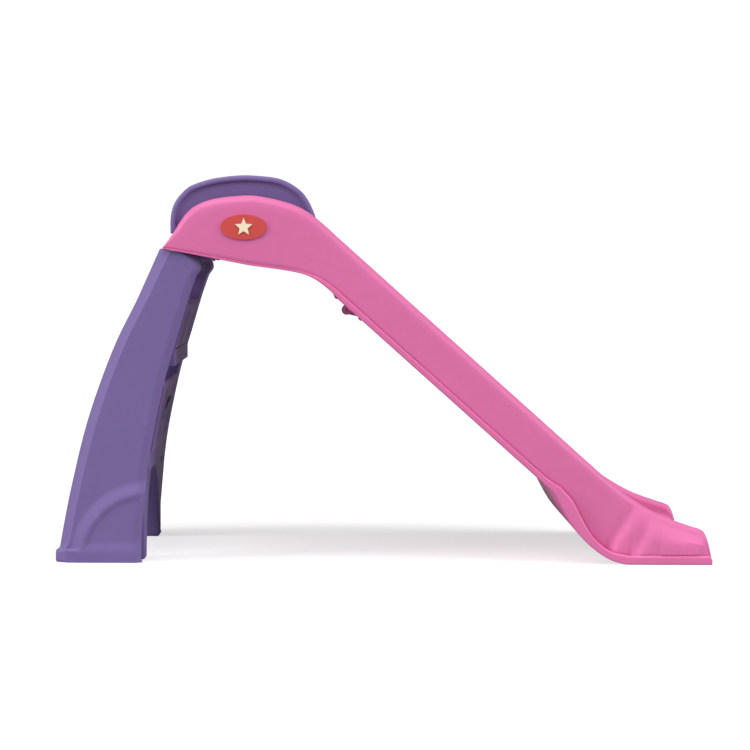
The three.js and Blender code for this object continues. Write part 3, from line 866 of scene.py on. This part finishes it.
@dataclass
class Ladder:
    """Folding ladder: two curved side rails, two treads, riser panels, a crossbar and an arched web."""

    rail_outer: float = 222.0
    rail_inner: float = 182.0
    panel: float = 24.0
    treads: tuple[float, float] = (163.0, 325.0)
    tread_depth: float = 26.0
    panel_top: float = 400.0
    hinge: Point = (-298.5, 450.5)
    hinge_round: float = 20.2
    arch: Point = (148.0, 132.0)
    foot_swell: float = 6.5
    catch: Point = (-346.4, 224.05)  # middle of the latch's catch plate
    catch_lean: float = 21.6  # degrees that the plate leans back
    catch_seat: tuple[float, float, float] = (1.65, 11.3, 20.3)  # its seat's depth, half width, half height
    peg_bore: tuple[float, float] = (5.5, 16.65)  # radius and depth of the bore behind it

    def under_deck(self, x: float) -> float:
        """Height just below the platform's sloping underside."""
        return 479.0 - (x + 339.5) * (15.5 / 85.0) - 0.35

    def outer_edge(self) -> Track:
        """Outer edge of the rails, from the floor up."""
        high = (-345.0, self.under_deck(-345.0))
        foot = [(-501.5, 0.0), (-503.0, 2.0), (-503.0, 15.0), (-502.0, 18.0), (-498.5, 20.0)]
        rise = [(-497, 22), (-481, 108), (-454, 219), (-416, 326), (-379, 403), high]
        return Track([*foot, *curve(rise, 60)])

    def inner_curve(self) -> list[Point]:
        """Inner edge of the rails above the floor, from the top down."""
        fall = [(-286, 437), (-297, 405), (-314, 347), (-331, 289), (-344, 232), (-355, 174), (-362, 118)]
        return curve([*fall, (-368, 45)], 60)

    def inner_edge(self) -> Track:
        """Inner edge of the rails, from the floor up and round the hinge's corner."""
        turns = [math.radians(angle) for angle in range(-10, 91, 7)]
        corner = [
            (self.hinge[0] + self.hinge_round * math.cos(t), self.hinge[1] + self.hinge_round * math.sin(t))
            for t in turns
        ]
        return Track([(-366.5, 0.0), (-368.0, 2.0), (-368.0, 20.0), *reversed(self.inner_curve()), *corner])

    def foot_relief(self, x: float, z: float) -> float:
        """How far the side face swells out at the foot, inside an arc about the inner corner."""
        radius = math.dist((x, z), (-360.0, 5.0))
        swell = self.foot_swell * facet(radius, 118, 102)
        panel = -2.0 * facet(radius, 98, 93) * ramp(x, -370, -378) * ramp(z, 22, 30)
        base = 6.5 * ramp(z, 20.5, 18.5) * (1 - 0.85 * facet(radius, 118, 102))
        return swell + panel + base

    def rail_section(self, outer: Vector, inner: Vector) -> Ring:
        """Closed section of the right-hand rail between two points of its edges."""
        width = (inner - outer).length
        along = (inner - outer) / width
        left, right = min(15.0, width * 0.3), min(9.0, width * 0.2)
        inside, face = self.rail_inner, self.rail_outer
        corners = rounded(
            [
                (0.0, face - 10.0, 3.0),
                (0.0, inside, 6.0),
                (width, inside, 6.0),
                (width, face - 6.5, 2.5),
                (width - right, face, 3.0),
            ]
        )
        flat = [(width - right - 5 - (width - right - left - 10) * i / 27, face) for i in range(28)]
        last = rounded([(0.0, face - 10.0, 3.0), (left, face, 4.0), (width, face, 0.0)])[5:10]
        ring = []
        for s, y in [*corners, *flat, *reversed(last)]:
            spot = outer + along * s
            lift = self.foot_relief(spot.x, spot.y) * ramp(y, inside + 8, face - 6)
            ring.append((spot.x, -(y + lift), spot.y))
        return ring

    def rail(self) -> bpy.types.Object:
        """One side rail."""
        low, high = self.outer_edge(), self.inner_edge()
        split_out, split_in = low.length_at(-496.9), high.length_at(-366.5) + 24.0
        rings = []
        for i in range(15):
            share = i / 15
            rings.append(self.rail_section(low.at(split_out * share), high.at(split_in * share)))
        steps = 96
        for i in range(steps + 1):
            share = i / steps
            a = low.at(split_out + (low.reach[-1] - split_out) * share)
            b = high.at(split_in + (high.reach[-1] - split_in) * share)
            rings.append(self.rail_section(a, b))
        return Bench.loft("rail", rings)

    def panel_piece(self, bottom: float, top: float) -> bpy.types.Object:
        """A curved riser panel between the rails, with pressed ribs on its back."""
        edge = [point for point in self.inner_curve() if bottom < point[1] < top]
        columns = [-186 + 372 * i / 60 for i in range(61)]
        rings = []
        span = edge[0][1] - edge[-1][1]
        for k, (x, z) in enumerate(edge):
            share = (edge[0][1] - z) / span
            soft = 3.0 * (1 - math.sin(math.pi / 2 * min(1.0, min(share, 1 - share) * span / 3.0)))
            window = ramp(share, 0.08, 0.16) * ramp(share, 0.92, 0.84)
            back = [(x - 0.8 - soft - 2.2 * window * self.rib(y), y, z) for y in columns]
            front = [(x - self.panel + 0.8 + soft, y, z) for y in reversed(columns)]
            rings.append(back + front)
        return Bench.loft("riser", rings)

    def catch_tools(self) -> list[bpy.types.Object]:
        """Tools for the catch plate's seat and for the bore that clears the latch's peg."""
        depth, half_width, half_height = self.catch_seat
        radius, bore = self.peg_bore
        reach = 42.0
        low, high = (-depth, -half_width, -half_height), (reach, half_width, half_height)
        seat = Bench.brick("seat_tool", low, high, 0.0)
        Bench.clear()
        bpy.ops.mesh.primitive_cylinder_add(vertices=48, radius=radius * MM, depth=(reach + bore) * MM)
        peg = bpy.context.object
        along = Matrix.Translation(((reach - bore) / 2 * MM, 0.0, 0.0)) @ Matrix.Rotation(math.pi / 2, 4, "Y")
        peg.data.transform(along)
        lean = Matrix.Rotation(math.radians(self.catch_lean), 4, "Y")
        place = Matrix.Translation((self.catch[0] * MM, 0.0, self.catch[1] * MM)) @ lean
        for tool in (seat, peg):
            tool.data.transform(place)
        return [seat, peg]

    @staticmethod
    def rib(y: float) -> float:
        """Depth share of the pressed bays between the panel's upright ribs; the middle stays flat."""
        if abs(y) < 34 or abs(y) > 172:
            return 0.0
        place = (abs(y) - 34) % 46
        return ramp(place, 2, 9) * ramp(place, 44, 37)

    def tread(self, top: float) -> bpy.types.Object:
        """One tread with a round nose and grip ridges."""
        front, back = (-405.0, -322.0) if top > 200 else (-460.0, -361.0)
        low, radius = top - self.tread_depth, self.tread_depth / 2
        count = 9
        pitch = (back - 22 - (front + 16)) / count
        ridges = []
        for i in range(count):
            x = back - 22 - pitch * i
            ridges += [(x, top - 1.3), (x - pitch * 0.22, top)]
            ridges += [(x - pitch * 0.62, top), (x - pitch * 0.84, top - 1.3)]
        turns = [math.pi / 2 + math.pi * i / 12 for i in range(13)]
        nose = [(front + radius + radius * math.cos(t), top - radius + radius * math.sin(t)) for t in turns]
        return Bench.prism("tread", [(back, low), (back, top - 1.3), *ridges, *nose], -186, 186, 0.6)

    def web(self) -> bpy.types.Object:
        """Web under the lower tread, cut by the arch between the legs."""
        web = Bench.brick("web", (-394, -186, 0.4), (-366.6, 186, self.treads[0] - 6), 0.0)
        Bench.clear()
        bpy.ops.mesh.primitive_cylinder_add(vertices=96, radius=1.0, depth=0.2)
        tool = bpy.context.object
        stand = Matrix.Rotation(math.pi / 2, 4, "Y")
        size = Matrix.Diagonal((1.0, self.arch[0] * MM, self.arch[1] * MM, 1.0))
        tool.data.transform(Matrix.Translation((-0.38, 0.0, 0.0)) @ size @ stand)
        Bench.combine(web, tool, Turn.CUT)
        Bench.bevel(web, 3.5, 4, 50.0)
        return web

    def build(self, finishes: Finishes) -> bpy.types.Object:
        """Model and dress the ladder as one moulding."""
        rail = self.rail()
        twin = Bench.mirrored(rail, "rail_twin")
        lower_riser = self.panel_piece(self.treads[0] - 8, self.treads[1] - self.tread_depth - 22)
        for tool in self.catch_tools():
            Bench.combine(lower_riser, tool, Turn.CUT)
        pieces = [
            rail,
            twin,
            lower_riser,
            self.panel_piece(self.treads[1] - 8, self.panel_top),
            *(self.tread(top) for top in self.treads),
            self.web(),
            Bench.brick("crossbar", (-346, -186, 441), (-324, 186, 463), 6.0),
        ]
        ladder = Bench.join(pieces, "ladder_moulding")
        Bench.finish(ladder, 34.0)
        finishes.dress(ladder, Slot.LADDER)
        settle(ladder, "ladder", Slot.LADDER, "ladder")
        return ladder


# ---------------------------------------------------------------- handrails


@dataclass
class Handrail:
    """Arched handrail: a raised rim round a recessed panel, with two tabs below."""

    outer: float = 196.4
    thick: float = 23.0
    rim: float = 9.0
    foot: float = 502.5
    recess: float = 4.2
    tab: tuple[float, float, float] = (34.0, 12.0, 20.0)

    def outline(self) -> list[Point]:
        """Side outline, round from the front foot over the top to the back foot."""
        rise = [(-328.5, 517), (-327, 534), (-322, 549), (-312, 563), (-296, 576)]
        crown = [(-264, 586.5), (-227, 591.5)]
        fall = [(-198, 591.5), (-160, 586.5), (-131, 570.5), (-115, 550), (-105.5, 524)]
        return [(-328, self.foot), *curve([*rise, *crown, *fall], 84), (-105, self.foot)]

    def profile(self) -> list[tuple[float, float]]:
        """Depth and inset of each section from the recessed panel out over the rim to the middle."""
        rim, deep = self.rim, self.recess
        steps = [(deep, rim + 2.6), (deep - 0.3, rim + 1.2), (deep - 1.4, rim + 0.3), (1.5, rim - 0.4)]
        steps += [(0.5, rim - 1.2), (0.0, rim - 2.6), (0.0, 4.6)]
        return steps + [(depth, shrink) for depth, shrink in Bench.rounding(4.6)[1:]]

    def build(self, side: int, word: str, finishes: Finishes) -> bpy.types.Object:
        """Model and dress the handrail of one side."""
        outline = self.outline()
        inner = self.outer - self.thick
        profile = self.profile()
        rings = [[(x, -(inner + depth), z) for x, z in inset(outline, s)] for depth, s in profile]
        rings += [[(x, -(self.outer - depth), z) for x, z in inset(outline, s)] for depth, s in profile[::-1]]
        pieces = [Bench.loft("handrail", rings)]
        length, width, depth = self.tab
        for x in (-288.0, -193.0):
            low = (x - length / 2, -(self.outer - 6), self.foot - depth)
            high = (x + length / 2, -(self.outer - 6 - width), self.foot + 2)
            pieces.append(Bench.brick("tab", low, high, 1.5))
        handrail = Bench.join(pieces, f"handrail_{word}_moulding")
        if side > 0:
            handrail.data.transform(Matrix.Scale(-1.0, 4, (0.0, 1.0, 0.0)))
            handrail.data.flip_normals()
        Bench.finish(handrail, 40.0)
        finishes.dress(handrail, Slot.LADDER, finishes.handrail)
        settle(handrail, f"handrail_{word}", Slot.LADDER, f"handrail_{word}")
        return handrail


# ---------------------------------------------------------------- small parts


class SmallParts:
    """Pieces whose frame shape is right: they only need their finish."""

    slots = {
        "hinge_bracket": Slot.LADDER,
        "bracket_screw": Slot.STEEL,
        "hinge_pin": Slot.STEEL,
        "hinge_bush": Slot.NYLON,
        "badge_star": Slot.STAR,
        "badge": Slot.BADGE,
        "latch_mount": Slot.CHUTE,
        "latch_screw": Slot.STEEL,
        "latch_pin": Slot.STEEL,
        "latch_catch": Slot.NYLON,
        "storage_latch": Slot.CHUTE,
    }

    def dress(self, finishes: Finishes) -> None:
        """Give each small node its material."""
        for name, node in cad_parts.items():
            for start, slot in self.slots.items():
                if name.startswith(start):
                    finishes.dress(node, slot)
                    break


# ---------------------------------------------------------------- studio


@dataclass
class Studio:
    """Pale floor, soft light and the camera."""

    eye: tuple[float, float, float] = (-0.0798, -4.23, 0.4727)
    lens: float = 126.3
    yaw: float = -0.936
    pitch: float = -2.632
    roll: float = 0.31
    room_light: float = 0.2
    backdrop: float = 1.02  # brightness of the surroundings as the camera sees them
    floor_size: float = 60.0

    def floor(self) -> None:
        """Lay the floor."""
        Bench.clear()
        bpy.ops.mesh.primitive_plane_add(size=self.floor_size)
        floor = bpy.context.object
        floor.name = "floor"
        floor.data.materials.append(FloorFinish("pale_floor").material())

    def sky(self) -> None:
        """White surroundings."""
        world = bpy.data.worlds.new("white_room")
        world.use_nodes = True
        tree = world.node_tree
        room = tree.nodes["Background"]
        room.inputs["Color"].default_value = (1.0, 1.0, 1.0, 1.0)
        path = tree.nodes.new("ShaderNodeLightPath")
        level = tree.nodes.new("ShaderNodeMapRange")
        level.inputs["To Min"].default_value = self.room_light
        level.inputs["To Max"].default_value = self.backdrop
        tree.links.new(path.outputs["Is Camera Ray"], level.inputs["Value"])
        tree.links.new(level.outputs["Result"], room.inputs["Strength"])
        bpy.context.scene.world = world
        bpy.context.scene.view_settings.view_transform = "Standard"

    def sun(self, name: str, source: Sequence[float], angle: float, power: float) -> None:
        """Add a soft distant lamp that shines from a direction."""
        data = bpy.data.lights.new(name, "SUN")
        data.angle = math.radians(angle)
        data.energy = power
        lamp = bpy.data.objects.new(name, data)
        bpy.context.collection.objects.link(lamp)
        lamp.rotation_euler = (-Vector(source)).to_track_quat("-Z", "Y").to_euler()

    def camera(self) -> None:
        """Set the camera."""
        data = bpy.data.cameras.new("camera")
        data.lens = self.lens
        data.sensor_width = 36.0
        data.clip_end = 200.0
        camera = bpy.data.objects.new("camera", data)
        bpy.context.collection.objects.link(camera)
        turn = Matrix.Rotation(math.radians(self.yaw), 4, "Z")
        turn = turn @ Matrix.Rotation(math.radians(90.0 + self.pitch), 4, "X")
        turn = turn @ Matrix.Rotation(math.radians(self.roll), 4, "Z")
        camera.matrix_world = Matrix.Translation(self.eye) @ turn
        bpy.context.scene.camera = camera

    def build(self) -> None:
        """Set everything up."""
        self.floor()
        self.sky()
        self.sun("left", source=(-1.0, -0.35, 0.4), angle=25.0, power=2.1)
        self.sun("right", source=(1.0, -0.35, 0.5), angle=30.0, power=1.75)
        self.sun("top", source=(-0.1, -0.42, 1.0), angle=60.0, power=2.2)
        self.camera()


def main() -> None:
    """Build the slide and its studio."""
    logging.basicConfig(level=logging.INFO, format="%(message)s")
    finishes = Finishes()
    Chute().build(finishes)
    Ladder().build(finishes)
    for side, word in ((-1, "right"), (1, "left")):
        Handrail().build(side, word, finishes)
    SmallParts().dress(finishes)
    Studio().build()


if __name__ == "__main__":
    main()
